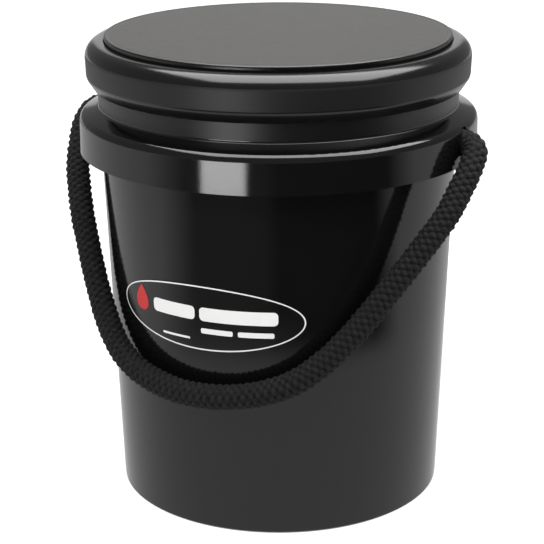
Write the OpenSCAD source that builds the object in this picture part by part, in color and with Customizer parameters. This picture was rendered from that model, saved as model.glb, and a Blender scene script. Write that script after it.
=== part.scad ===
// Lidded round wash pail with a padded seat lid and a braided rope handle.
// The origin is the centre of the foot, +Z is up, the front is -Y and the rope holes are on the X axis.

/* [Pail] */
// Height of the pail from the foot to the rim
pail_h = 356; // [320:1:430]
// Outer diameter of the pail at the foot
foot_d = 264; // [220:1:318]
// Outer diameter of the pail at the rim
rim_d = 290; // [241:1:348]
// Wall thickness of the pail
wall_t = 2.5; // [2:0.1:3]
// Height of the floor's underside above the foot
floor_raise = 5; // [4:0.5:8]
// Thickness of the floor
floor_t = 3; // [2:0.1:4]
// Width of the flat foot ring
foot_w = 3.6; // [3:0.1:6]
// Radius of the foot's outer edge
heel_r = 1.4; // [1:0.1:2]
// Width of the chamfer where the wall meets the floor inside
floor_chamfer = 4; // [2:0.5:8]
// Chamfer of the rim's two edges
rim_chamfer = 0.8; // [0.3:0.1:0.9]

/* [Ledge and band] */
// Distance from the rim down to the inner edge of the ledge
neck_h = 37.7; // [34:0.1:46]
// How far the band stands out from the wall
band_out = 15.5; // [12:0.1:19]
// Thickness of the ledge and the hanging band
band_t = 2.6; // [2:0.1:3.4]
// Height of the ledge and band together
band_h = 35.1; // [34:0.1:43]
// How far the band flares out towards its lower edge
band_flare = 0.6; // [0.3:0.1:1]
// Slope of the ledge in degrees
ledge_slope = 22; // [15:1:28]
// Size of the fillet between the neck and the ledge
neck_fillet = 1.6; // [1:0.1:2.5]
// Radius of the edge between ledge and band
band_edge_r = 7; // [5:0.1:9]
// Number of stiffening webs inside the band
web_count = 18; // [6:4:30]
// Thickness of each stiffening web
web_t = 1.8; // [1.4:0.1:2.4]
// Distance from the band's lower edge up to the webs
web_rise = 7; // [4:0.5:12]

/* [Rope handle] */
// Diameter of the rope
rope_d = 21; // [17:0.5:21.2]
// Radial clearance of the rope in its holes
rope_gap = 0.4; // [0.2:0.1:0.8]
// Height of the rope holes above the band's lower edge
hole_rise = 17.8; // [17:0.1:21]
// Wall thickness of the moulded sleeve round each rope hole
sleeve_t = 3.2; // [2.5:0.1:4]
// Radius of the rounded mouth of each rope hole
mouth_r = 4.1; // [3:0.1:5]
// Length of each stopper knot
knot_len = 44; // [36:1:50]
// Diameter of each stopper knot
knot_d = 54; // [45:1:60]
// Radius of the edges of each stopper knot
knot_edge_r = 10; // [8:0.5:12]
// Clearance between a stopper knot and the wall
knot_gap = 0.5; // [0.3:0.1:1.5]
// Length of rope that stands out of each knot
tail_len = 13; // [10:1:18]
// Length of the shrunk sleeve on each rope end
sleeve_len = 9; // [6:1:10]
// Thickness of the shrunk sleeve
shrink_t = 0.8; // [0.5:0.1:1.2]

/* [Lid] */
// Height of the lid from the lower edge of its skirt to its crown
lid_h = 36; // [32:0.5:43]
// Height of the seat recess above the pail's rim
lid_rise = 10; // [9:0.5:12]
// Depth of the seat recess
recess_depth = 4; // [3:0.1:6]
// Wall thickness of the lid's skirt
skirt_t = 2.8; // [2:0.1:3.2]
// How far the skirt's outer face stands out from the rim
skirt_out = 8.3; // [7.5:0.1:10]
// How far the skirt draws in towards its sloping lower part
skirt_draft = 0.6; // [0.3:0.1:1]
// Size of the rounded corner between the skirt and its sloping lower part
skirt_corner = 2.2; // [1:0.1:3]
// Radius of the lid's shoulder
shoulder_r = 12; // [9:0.5:13]
// Height of the sloping lower part of the skirt
lip_h = 8.5; // [6:0.5:10]
// Thickness of the flat lower edge of the skirt
lip_w = 1.4; // [1:0.1:2]
// Radial clearance between the skirt's lip and the rim
lip_gap = 0.6; // [0.4:0.1:1.2]
// Thickness of the lid's top plate
plate_t = 3.5; // [2.5:0.1:5]
// Depth of the locating ring below the rim
plug_h = 10; // [6:0.5:14]
// Thickness of the locating ring
plug_t = 2.6; // [2:0.1:3.2]
// Radial clearance between the locating ring and the rim
plug_gap = 1.3; // [0.8:0.1:1.6]
// Thickness of the gasket
gasket_t = 3; // [2:0.1:4]
// Radial width of the gasket
gasket_w = 6; // [4:0.5:6.5]
// Number of ribs under the top plate
rib_count = 12; // [6:1:18]
// Thickness of each rib
rib_t = 2; // [1.5:0.1:3]
// Depth of the ribs
rib_h = 7; // [4:0.5:10]
// Outer diameter of the hub ring that the ribs meet
hub_d = 48; // [40:1:60]
// Wall thickness of the hub ring
hub_t = 2.4; // [2:0.1:4]

/* [Seat pad] */
// Diameter of the seat pad
pad_d = 276; // [224:1:276.6]
// Thickness of the seat pad with its cover and adhesive
pad_h = 8.5; // [7:0.1:12]
// Radial clearance between the pad and its recess
pad_gap = 0.6; // [0.3:0.1:1]
// Thickness of the pad's cover
cover_t = 0.9; // [0.6:0.1:1.5]
// Radius of the cover's upper edge
cover_edge_r = 1.6; // [1.2:0.1:2.4]
// Thickness of the adhesive sheet under the pad
adhesive_t = 0.4; // [0.2:0.1:0.8]
// Inset of the adhesive sheet from the pad's edge
adhesive_inset = 3; // [1:0.5:10]

/* [Label] */
// Width of the oval label round the wall
label_w = 168; // [120:1:200]
// Height of the oval label
label_h = 54; // [40:1:66]
// Height of the label's centre above the foot
label_z = 178; // [160:1:200]
// Thickness of the label
label_t = 0.3; // [0.2:0.1:0.5]

/* [Hidden] */
round_fn = 128;
overlap = 5;
bend_steps = 6;
foot_draft = 1;
taper = (rim_d - foot_d) / 2 / pail_h;
function wall_r(z) = foot_d / 2 + taper * z;
function inner_r(z) = wall_r(z) - wall_t;
function unit(v) = v / norm(v);
function toward(p, q, d) = p + d * unit(q - p);
function bend(a, corner, b) = [
    for (i = [0 : bend_steps])
        let (t = i / bend_steps)
        (1 - t) * (1 - t) * a + 2 * t * (1 - t) * corner + t * t * b
];

// Ledge and band
ledge_z = pail_h - neck_h;
band_z = ledge_z - band_h;
band_r = wall_r(ledge_z) + band_out;
bury_r = (wall_r(band_z) + inner_r(ledge_z)) / 2;

// Rope holes
rope_r = rope_d / 2;
hole_z = band_z + hole_rise;
hole_r = rope_r + rope_gap;
mouth_x = band_r + band_flare - mouth_r;

// Stopper knots
knot_x = sqrt(pow(inner_r(hole_z - knot_d / 2 + knot_edge_r), 2) - pow(knot_d / 2 - knot_edge_r, 2)) - knot_gap;

// Lid
recess_z = pail_h + lid_rise;
crown_z = recess_z + recess_depth;
skirt_z = crown_z - lid_h;
skirt_r = rim_d / 2 + skirt_out;
lip_r = rim_d / 2 + lip_gap;
channel_z = pail_h + gasket_t;
plate_z = recess_z - plate_t;
plug_r = inner_r(pail_h) - plug_gap;
plug_in_r = plug_r - plug_t;
recess_r = pad_d / 2 + pad_gap;
gasket_r = (rim_d - wall_t) / 2;

// Label
label_r = wall_r(label_z);
label_steps = 72;
label_reach = 30;

// Rope route: the right half, from the knot's face to the middle of the loop
rope_half = [
    [138, 0, 301], [149, 0, 301], [156, 0, 301], [161.5, -1, 300.5], [166, -3.5, 299], [170, -7.5, 296.5],
    [171.5, -13.5, 292], [171.5, -21, 285.5], [169.5, -29, 276.5], [167, -37, 266.5], [163.5, -45, 256],
    [157, -54.5, 243], [147, -67, 225.5], [131.5, -83, 200.5], [114.5, -99, 174.5], [96, -114.5, 151.5],
    [74.5, -129, 134], [50, -139.5, 124.5], [26, -145.5, 120], [0, -147.8, 118.5]
];
rope_sides = 12;
loop_tilt = 39;
rope_last = len(rope_half) - 1;
rope_back = [for (i = [rope_last - 1 : -1 : 0]) [-rope_half[i].x, rope_half[i].y, rope_half[i].z]];
rope_route = concat(rope_half, rope_back);

function route_dir(p, i) = unit(p[min(i + 1, len(p) - 1)] - p[max(i - 1, 0)]);
function route_side(p, i) = unit(cross([0, cos(loop_tilt), -sin(loop_tilt)], route_dir(p, i)));
function route_ring(p, i, r, n) =
    let (a = route_side(p, i), b = cross(route_dir(p, i), a))
    [for (k = [0 : n - 1]) p[i] + r * (cos(360 * k / n) * a + sin(360 * k / n) * b)];

// Closed tube along a list of points, with one ring of corners at each point
module tube(route, r, n) {
    rings = len(route);
    points = [for (i = [0 : rings - 1]) each route_ring(route, i, r, n)];
    sides = [
        for (i = [0 : rings - 2]) for (k = [0 : n - 1])
            [i * n + k, (i + 1) * n + k, (i + 1) * n + (k + 1) % n, i * n + (k + 1) % n]
    ];
    first_cap = [for (k = [0 : n - 1]) k];
    last_cap = [for (k = [n - 1 : -1 : 0]) (rings - 1) * n + k];
    polyhedron(points, concat(sides, [first_cap, last_cap]), convexity = 10);
}

// Turns a profile, drawn with its height along Y, round the X axis
module turn_about_x() {
    rotate([0, 90, 0])
        rotate_extrude($fn = round_fn)
            children();
}

// Half section of the pail's wall, floor and foot
module wall_section() {
    foot_r = foot_d / 2 - heel_r;
    floor_z = floor_raise + floor_t;
    polygon([
        [0, floor_raise],
        [foot_r - foot_w - foot_draft, floor_raise],
        [foot_r - foot_w, 0],
        [foot_r, 0],
        [wall_r(heel_r), heel_r],
        [wall_r(pail_h - rim_chamfer), pail_h - rim_chamfer],
        [wall_r(pail_h) - rim_chamfer, pail_h],
        [inner_r(pail_h) + rim_chamfer, pail_h],
        [inner_r(pail_h - rim_chamfer), pail_h - rim_chamfer],
        [inner_r(floor_z + floor_chamfer), floor_z + floor_chamfer],
        [inner_r(floor_z) - floor_chamfer, floor_z],
        [0, floor_z]
    ]);
}

// Half section of everything inside the ledge's surface, drawn inset by an amount
module ledge_section(inset) {
    edge_c = [band_r - band_edge_r, ledge_top_at_edge() - band_edge_r * cos(ledge_slope)];
    top = edge_c + (band_edge_r - inset) * [sin(ledge_slope), cos(ledge_slope)];
    polygon([
        [bury_r, band_z - inset],
        [band_r + band_flare - inset, band_z - inset],
        [band_r - inset, edge_c.y],
        edge_c,
        top,
        [bury_r, top.y + (top.x - bury_r) * tan(ledge_slope)]
    ]);
    translate(edge_c)
        circle(r = band_edge_r - inset, $fn = round_fn);
}

// Half section of the fillet between the neck and the ledge
module neck_fillet_section() {
    corner = [wall_r(ledge_z), ledge_z];
    up = [wall_r(ledge_z + neck_fillet), ledge_z + neck_fillet];
    out = corner + neck_fillet * [cos(ledge_slope), -sin(ledge_slope)];
    polygon(concat(bend(up, corner, out), [[wall_r(ledge_z) - wall_t / 2, ledge_z - neck_fillet]]));
}

// Height at which the ledge's slope runs into its rounded edge
function ledge_top_at_edge() =
    ledge_z - (band_r - band_edge_r + band_edge_r * sin(ledge_slope) - wall_r(ledge_z)) * tan(ledge_slope);

// Moulded sleeve that joins the wall to the band round each rope hole
module hole_sleeves() {
    intersection() {
        rotate_extrude($fn = round_fn)
            ledge_section(0);
        translate([-band_r, 0, hole_z])
            rotate([0, 90, 0])
                cylinder(r = hole_r + sleeve_t, h = 2 * band_r, $fn = round_fn);
    }
}

// Thin upright webs between the wall and the band
module band_webs() {
    web_step = 360 / web_count;
    intersection() {
        rotate_extrude($fn = round_fn)
            ledge_section(band_t / 2);
        for (i = [0 : web_count - 1])
            rotate([0, 0, (i + 0.5) * web_step])
                translate([bury_r, -web_t / 2, band_z + web_rise])
                    cube([band_out + wall_t, web_t, band_h]);
    }
}

// What is cut away for one rope hole: a straight bore with a rounded mouth
module rope_hole() {
    translate([knot_x - overlap, 0, hole_z])
        rotate([0, 90, 0])
            cylinder(r = hole_r, h = band_out + wall_t + 4 * overlap, $fn = round_fn);
    translate([mouth_x, 0, hole_z])
        turn_about_x()
            difference() {
                square([hole_r + mouth_r, mouth_r + overlap]);
                translate([hole_r + mouth_r, 0])
                    circle(r = mouth_r, $fn = round_fn);
            }
}

module bucket_shell() {
    color("#151515")
        difference() {
            union() {
                rotate_extrude($fn = round_fn)
                    union() {
                        wall_section();
                        difference() {
                            ledge_section(0);
                            ledge_section(band_t);
                        }
                        neck_fillet_section();
                    }
                hole_sleeves();
                band_webs();
            }
            rope_hole();
            mirror([1, 0, 0])
                rope_hole();
        }
}

module label_film() {
    low_z = label_z - label_reach;
    high_z = label_z + label_reach;
    color("#0d0d0d")
        intersection() {
            translate([0, 0, label_z])
                rotate([90, 0, 0])
                    linear_extrude(height = rim_d)
                        polygon([
                            for (i = [0 : label_steps - 1])
                                let (a = 360 * i / label_steps, across = label_w / 2 * cos(a))
                                [label_r * sin(across / label_r * 180 / PI), label_h / 2 * sin(a)]
                        ]);
            difference() {
                translate([0, 0, low_z])
                    cylinder(
                        r1 = wall_r(low_z) + label_t, r2 = wall_r(high_z) + label_t,
                        h = high_z - low_z, $fn = round_fn
                    );
                translate([0, 0, low_z])
                    cylinder(r1 = wall_r(low_z), r2 = wall_r(high_z), h = high_z - low_z, $fn = round_fn);
            }
        }
}

module rope() {
    color("#1b1b1b")
        tube(rope_route, rope_r, rope_sides);
}

// Half section of a stopper knot with its rope end, from the wall inwards
module knot_section() {
    r = knot_d / 2;
    e = knot_edge_r;
    square([r - e, knot_len]);
    translate([0, e])
        square([r, knot_len - 2 * e]);
    for (h = [e, knot_len - e])
        translate([r - e, h])
            circle(r = e, $fn = round_fn);
    square([rope_r, knot_len + tail_len]);
}

module knot() {
    color("#1b1b1b")
        translate([knot_x, 0, hole_z])
            mirror([1, 0, 0])
                turn_about_x()
                    intersection() {
                        knot_section();
                        square([knot_d, knot_len + tail_len]);
                    }
}

module knot_right() {
    knot();
}

module knot_left() {
    mirror([1, 0, 0])
        knot();
}

module end_sleeve() {
    color("#262626")
        translate([knot_x - knot_len - tail_len, 0, hole_z])
            rotate([0, 90, 0])
                difference() {
                    cylinder(r = rope_r + shrink_t, h = sleeve_len, $fn = round_fn);
                    translate([0, 0, -1])
                        cylinder(r = rope_r, h = sleeve_len + 2, $fn = round_fn);
                }
}

module end_sleeve_right() {
    end_sleeve();
}

module end_sleeve_left() {
    mirror([1, 0, 0])
        end_sleeve();
}

// Half section of the lid: rounded shoulder, hanging skirt, locating ring and top plate
module lid_section() {
    shoulder_z = crown_z - shoulder_r;
    skirt_top = [skirt_r, shoulder_z];
    skirt_foot = [skirt_r - skirt_draft, skirt_z + lip_h];
    lip_foot = [lip_r + lip_w, skirt_z];
    corner_low = toward(skirt_foot, lip_foot, skirt_corner);
    corner_high = toward(skirt_foot, skirt_top, skirt_corner);
    difference() {
        union() {
            polygon(concat([
                [0, plate_z],
                [plug_in_r, plate_z],
                [plug_in_r, pail_h - plug_h],
                [plug_r, pail_h - plug_h],
                [plug_r, channel_z],
                [skirt_r - skirt_t, channel_z],
                [skirt_r - skirt_t, skirt_z + lip_h + 1],
                [lip_r, skirt_z + lip_w * 2],
                [lip_r, skirt_z],
                lip_foot
            ], bend(corner_low, skirt_foot, corner_high), [
                skirt_top,
                [skirt_r - shoulder_r, crown_z],
                [0, crown_z]
            ]));
            translate([skirt_r - shoulder_r, shoulder_z])
                difference() {
                    circle(r = shoulder_r, $fn = round_fn);
                    translate([-shoulder_r, -shoulder_r])
                        square([2 * shoulder_r, shoulder_r]);
                    translate([-shoulder_r, -shoulder_r])
                        square([2 * shoulder_r - skirt_t, channel_z - shoulder_z + shoulder_r]);
                    translate([-shoulder_r, -shoulder_r])
                        square([shoulder_r, 2 * shoulder_r]);
                }
        }
        translate([0, recess_z])
            square([recess_r, crown_z]);
    }
}

// Ribs and hub ring under the lid's top plate
module lid_ribs() {
    translate([0, 0, plate_z - rib_h])
        difference() {
            cylinder(d = hub_d, h = rib_h + 1, $fn = round_fn);
            translate([0, 0, -1])
                cylinder(d = hub_d - 2 * hub_t, h = rib_h + 3, $fn = round_fn);
        }
    for (i = [0 : rib_count - 1])
        rotate([0, 0, 360 * i / rib_count])
            translate([(hub_d - hub_t) / 2, -rib_t / 2, plate_z - rib_h])
                cube([plug_r - plug_t / 2 - (hub_d - hub_t) / 2, rib_t, rib_h + 1]);
}

module lid_shell() {
    color("#1d1d1d")
        union() {
            rotate_extrude($fn = round_fn)
                lid_section();
            lid_ribs();
        }
}

module lid_gasket() {
    color("#2b2b2b")
        translate([0, 0, pail_h])
            difference() {
                cylinder(r = gasket_r + gasket_w / 2, h = gasket_t, $fn = round_fn);
                translate([0, 0, -1])
                    cylinder(r = plug_r + lip_gap, h = gasket_t + 2, $fn = round_fn);
            }
}

module seat_adhesive() {
    color("#3c3c38")
        translate([0, 0, recess_z])
            cylinder(r = pad_d / 2 - cover_t - adhesive_inset, h = adhesive_t, $fn = round_fn);
}

module seat_core() {
    color("#4a4843")
        translate([0, 0, recess_z + adhesive_t])
            cylinder(r = pad_d / 2 - cover_t, h = pad_h - adhesive_t - cover_t, $fn = round_fn);
}

module seat_cover() {
    r = pad_d / 2;
    h = pad_h - adhesive_t;
    color("#76726a")
        translate([0, 0, recess_z + adhesive_t])
            rotate_extrude($fn = round_fn)
                difference() {
                    union() {
                        square([r - cover_edge_r, h]);
                        square([r, h - cover_edge_r]);
                        intersection() {
                            translate([r - cover_edge_r, h - cover_edge_r])
                                circle(r = cover_edge_r, $fn = round_fn);
                            square([r, h]);
                        }
                    }
                    translate([0, -1])
                        square([r - cover_t, h - cover_t + 1]);
                }
}

bucket_shell();
label_film();
rope();
knot_left();
knot_right();
end_sleeve_left();
end_sleeve_right();
lid_shell();
lid_gasket();
seat_adhesive();
seat_core();
seat_cover();
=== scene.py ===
"""Wash bucket: a glossy pail with a padded seat lid and a braided rope handle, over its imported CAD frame."""

import math

import bmesh
import bpy
import numpy as np
from bpy.props import FloatProperty, FloatVectorProperty, IntProperty, PointerProperty
from mathutils import Matrix, Vector


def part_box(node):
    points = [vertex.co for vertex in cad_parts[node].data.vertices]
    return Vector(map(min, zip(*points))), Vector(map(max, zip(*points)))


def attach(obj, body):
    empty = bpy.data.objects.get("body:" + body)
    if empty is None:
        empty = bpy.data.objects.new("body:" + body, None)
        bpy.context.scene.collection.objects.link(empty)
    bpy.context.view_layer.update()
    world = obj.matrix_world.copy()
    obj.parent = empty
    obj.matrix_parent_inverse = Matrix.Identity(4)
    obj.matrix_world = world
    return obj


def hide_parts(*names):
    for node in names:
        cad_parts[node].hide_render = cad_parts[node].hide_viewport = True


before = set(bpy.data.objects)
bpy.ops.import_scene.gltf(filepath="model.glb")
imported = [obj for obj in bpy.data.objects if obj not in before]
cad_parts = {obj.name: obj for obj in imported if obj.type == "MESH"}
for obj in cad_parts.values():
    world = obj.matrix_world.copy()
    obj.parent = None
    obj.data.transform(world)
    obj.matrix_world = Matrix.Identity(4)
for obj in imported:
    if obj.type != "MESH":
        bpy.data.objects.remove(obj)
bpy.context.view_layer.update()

bl_info = {
    "name": "Wash Bucket",
    "version": (1, 0, 0),
    "blender": (4, 5, 0),
    "location": "View3D > Sidebar > Wash Bucket",
    "description": "Builds the visible pieces of a wash bucket with a seat lid and a rope handle",
    "category": "Object",
}

MM = 0.001
TAU = 2 * math.pi

# Places that come from the CAD frame, in metres
RIM_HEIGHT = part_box("bucket_shell")[1].z
LID_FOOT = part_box("lid_shell")[0].z
PAD_LOW, PAD_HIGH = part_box("seat_cover")
FILM_LOW, FILM_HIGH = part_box("label_film")
KNOT_LOW, KNOT_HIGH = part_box("knot_right")
SLEEVE_LOW, SLEEVE_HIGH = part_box("end_sleeve_right")
PAD_RADIUS = PAD_HIGH.x
LABEL_HEIGHT = (FILM_LOW.z + FILM_HIGH.z) / 2
HOLE_HEIGHT = (KNOT_LOW.z + KNOT_HIGH.z) / 2
KNOT_FACE = KNOT_HIGH.x
TAIL_END = KNOT_LOW.x

# The wall is a cone: its radius is FOOT_RADIUS + WALL_TAPER * height. The printed ink stands on the film
FOOT_RADIUS = 0.132
WALL_TAPER = 0.0365
LEDGE_HEIGHT = 0.32
FILM_THICKNESS = 0.0003
INK_LIFT = FILM_THICKNESS + 0.00008

# The right half of the rope's route, from the knot's face to the middle of the loop, in millimetres
ROPE_HALF = [
    (138, 0, 301), (149, 0, 301), (156, 0, 301), (161.5, -1, 300.5), (166, -3.5, 299), (170, -7.5, 296.5),
    (171.5, -13.5, 292), (171.5, -21, 285.5), (169.5, -29, 276.5), (167, -37, 266.5), (163.5, -45, 256),
    (157, -54.5, 243), (147, -67, 225.5), (131.5, -83, 200.5), (114.5, -99, 174.5), (96, -114.5, 151.5),
    (74.5, -129, 134), (50, -139.5, 124.5), (26, -145.5, 120), (0, -147.8, 118.5),
]
LOOP_NORMAL = (0, math.cos(math.radians(39)), -math.sin(math.radians(39)))


# ---------------------------------------------------------------- meshes


def grid_object(name, points, wrap_columns=True, end_points=None, uv=None, attributes=None):
    """Object whose surface is a grid of points (rows x columns x 3), each cell one four-sided face.
    With wrap_columns the last column joins the first. end_points are two points that close the first and last
    rows with fans. uv holds two numbers per grid corner, with one more column than points when the columns
    wrap. attributes are named floats per point."""
    rows, columns = points.shape[:2]
    across = columns if wrap_columns else columns - 1
    row, column = np.meshgrid(np.arange(rows - 1), np.arange(across), indexing="ij")
    after = (column + 1) % columns
    start, above = row * columns, (row + 1) * columns
    quads = np.stack([start + column, start + after, above + after, above + column], -1).reshape(-1, 4)
    vertices = points.reshape(-1, 3)
    fans = np.zeros((0, 3), int)
    if end_points is not None:
        low, high = len(vertices), len(vertices) + 1
        vertices = np.vstack([vertices, np.array(end_points, float)])
        here = np.arange(columns)
        there = (here + 1) % columns
        top = (rows - 1) * columns
        fans = np.vstack([
            np.stack([np.full(columns, low), there, here], -1),
            np.stack([np.full(columns, high), top + here, top + there], -1),
        ])
    corners = np.concatenate([quads.ravel(), fans.ravel()])
    totals = np.concatenate([np.full(len(quads), 4), np.full(len(fans), 3)])
    starts = np.concatenate([[0], np.cumsum(totals)[:-1]])
    mesh = bpy.data.meshes.new(name)
    mesh.vertices.add(len(vertices))
    mesh.vertices.foreach_set("co", vertices.astype(np.float32).ravel())
    mesh.loops.add(len(corners))
    mesh.loops.foreach_set("vertex_index", corners.astype(np.int32))
    mesh.polygons.add(len(totals))
    mesh.polygons.foreach_set("loop_start", starts.astype(np.int32))
    mesh.polygons.foreach_set("use_smooth", np.ones(len(totals), bool))
    mesh.update(calc_edges=True)
    if uv is not None:
        next_column = column + 1
        corner_uv = np.stack(
            [uv[row, column], uv[row, next_column], uv[row + 1, next_column], uv[row + 1, column]], 2
        )
        flat = np.vstack([corner_uv.reshape(-1, 2), np.zeros((len(fans) * 3, 2))])
        mesh.uv_layers.new(name="UVMap").data.foreach_set("uv", flat.astype(np.float32).ravel())
    for title, values in (attributes or {}).items():
        padded = np.concatenate([values.ravel(), np.zeros(len(vertices) - rows * columns)])
        mesh.attributes.new(title, "FLOAT", "POINT").data.foreach_set("value", padded.astype(np.float32))
    mesh.validate()
    piece = bpy.data.objects.new(name, mesh)
    bpy.context.scene.collection.objects.link(piece)
    return piece


def merge_doubles(mesh, distance):
    """Joins the corners of a mesh that lie within a distance of each other."""
    shape = bmesh.new()
    shape.from_mesh(mesh)
    bmesh.ops.remove_doubles(shape, verts=shape.verts, dist=distance)
    shape.to_mesh(mesh)
    shape.free()


def join_pieces(name, pieces):
    """One object from several, which it replaces."""
    with bpy.context.temp_override(active_object=pieces[0], selected_editable_objects=pieces):
        bpy.ops.object.join()
    pieces[0].name = name
    pieces[0].data.name = name
    return pieces[0]


def turned(name, profile, columns, axis="z"):
    """Surface of revolution: the profile's (radius, height) points, in millimetres, carried round the axis.
    A point at angle a is (radius cos a, radius sin a, height), and both ends of the profile meet the axis."""
    profile = np.array(profile, float) * MM
    angle = np.linspace(0, TAU, columns, endpoint=False)
    body = profile[1:-1]
    radius, height = body[:, :1], np.repeat(body[:, 1:], columns, 1)
    x, y = radius * np.cos(angle), radius * np.sin(angle)
    ends = [(0, 0, profile[0, 1]), (0, 0, profile[-1, 1])]
    points = np.stack([x, y, height], -1)
    if axis == "x":
        points = points[..., [2, 0, 1]]
        ends = [(end[2], 0, 0) for end in ends]
    return grid_object(name, points, end_points=ends)


def arc(centre, radius, start, end, steps=8):
    """Points (centre + radius * (cos a, sin a)) for angles a from start to end, in degrees."""
    angle = np.radians(np.linspace(start, end, steps + 1))
    return np.stack([centre[0] + radius * np.cos(angle), centre[1] + radius * np.sin(angle)], -1)


def ring_normals(mesh, sharp_angle):
    """Corner normals of a mesh that is mostly a surface of revolution about Z. A face of such a surface has the
    normal (cos f, sin f) in the half plane through the axis. Corners on one ring, at one radius and height,
    share the area-weighted mean of the face angles f within sharp_angle of their own, turned to each corner's
    azimuth. A face whose normal leaves that half plane by more than most_sideways keeps its plain normals."""
    most_sideways, same_ring, slots = 0.07, 2e-5, 360
    count, loops = len(mesh.polygons), len(mesh.loops)
    place = np.zeros(len(mesh.vertices) * 3)
    mesh.vertices.foreach_get("co", place)
    vertex = np.zeros(loops, int)
    mesh.loops.foreach_get("vertex_index", vertex)
    corner = place.reshape(-1, 3)[vertex]
    normal, centre, area = np.zeros(count * 3), np.zeros(count * 3), np.zeros(count)
    mesh.polygons.foreach_get("normal", normal)
    mesh.polygons.foreach_get("center", centre)
    mesh.polygons.foreach_get("area", area)
    normal, centre = normal.reshape(-1, 3), centre.reshape(-1, 3)
    face = np.repeat(np.arange(count), 3)
    outward = unit_rows(centre[:, :2] + 1e-12)
    radial = (normal[:, :2] * outward).sum(1)
    tangential = normal[:, 0] * outward[:, 1] - normal[:, 1] * outward[:, 0]
    turned_face = np.abs(tangential) < most_sideways
    angle = np.arctan2(normal[:, 2], np.sign(radial) * np.hypot(normal[:, 0], normal[:, 1]))[face]
    radius = np.hypot(corner[:, 0], corner[:, 1])
    keys = np.round(np.stack([radius, corner[:, 2]], -1) / same_ring).astype(int)
    _, ring = np.unique(keys, axis=0, return_inverse=True)
    ring = ring.ravel()
    slot = np.round((angle + math.pi) / TAU * slots).astype(int) % slots
    weight = np.where(turned_face, area, 0)[face]
    bins = ring * slots + slot
    total = np.bincount(bins, weight, (ring.max() + 1) * slots).reshape(-1, slots)
    cosines = np.bincount(bins, weight * np.cos(angle), total.size).reshape(-1, slots)
    sines = np.bincount(bins, weight * np.sin(angle), total.size).reshape(-1, slots)
    span = range(-sharp_angle, sharp_angle + 1)
    cosines, sines = (sum(np.roll(each, shift, axis=1) for shift in span) for each in (cosines, sines))
    mean = np.arctan2(sines[ring, slot], cosines[ring, slot])
    around = np.arctan2(corner[:, 1], corner[:, 0])
    smooth = np.stack([np.cos(mean) * np.cos(around), np.cos(mean) * np.sin(around), np.sin(mean)], -1)
    plain = np.zeros(loops * 3)
    mesh.corner_normals.foreach_get("vector", plain)
    use = (turned_face[face] & (radius > 1e-6))[:, None]
    return np.where(use, smooth, plain.reshape(-1, 3))


def cad_copy(node, name, sharp_angle=28):
    """Copy of a CAD node's mesh with its loose triangles joined and its curved faces shaded smooth.
    Faces that meet at more than sharp_angle degrees keep the edge between them."""
    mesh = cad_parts[node].data.copy()
    mesh.name = name
    merge_doubles(mesh, 2e-6)
    if mesh.has_custom_normals:
        mesh.attributes.remove(mesh.attributes["custom_normal"])
    mesh.shade_smooth()
    mesh.set_sharp_from_angle(angle=math.radians(sharp_angle))
    mesh.normals_split_custom_set(ring_normals(mesh, sharp_angle).tolist())
    piece = bpy.data.objects.new(name, mesh)
    bpy.context.scene.collection.objects.link(piece)
    return piece


def smooth_curve(points, samples):
    """Even samples of the natural cubic spline through the points, and its length. With chord length as its
    parameter, the second derivatives m solve h0 m0 + 2 (h0 + h1) m1 + h1 m2 = 6 (d1 - d0)."""
    points = np.array(points, float)
    count = len(points)
    step = np.linalg.norm(np.diff(points, axis=0), axis=1)
    knots = np.concatenate([[0], np.cumsum(step)])
    slope = np.diff(points, axis=0) / step[:, None]
    matrix = np.eye(count)
    inner = np.arange(1, count - 1)
    matrix[inner, inner - 1] = step[:-1]
    matrix[inner, inner] = 2 * (step[:-1] + step[1:])
    matrix[inner, inner + 1] = step[1:]
    right = np.zeros_like(points)
    right[1:-1] = 6 * np.diff(slope, axis=0)
    second = np.linalg.solve(matrix, right)

    def at(t):
        i = np.clip(np.searchsorted(knots, t, side="right") - 1, 0, count - 2)
        h = step[i][:, None]
        before, after = (knots[i + 1] - t)[:, None], (t - knots[i])[:, None]
        return (
            (second[i] * before**3 + second[i + 1] * after**3) / (6 * h)
            + (points[i] / h - second[i] * h / 6) * before
            + (points[i + 1] / h - second[i + 1] * h / 6) * after
        )

    fine = np.linspace(0, knots[-1], 4000)
    place = at(fine)
    travelled = np.concatenate([[0], np.cumsum(np.linalg.norm(np.diff(place, axis=0), axis=1))])
    even = np.interp(np.linspace(0, travelled[-1], samples), travelled, fine)
    return at(even), travelled[-1]


def unit_rows(vectors):
    """Each row divided by its length."""
    return vectors / np.linalg.norm(vectors, axis=-1, keepdims=True)


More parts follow.
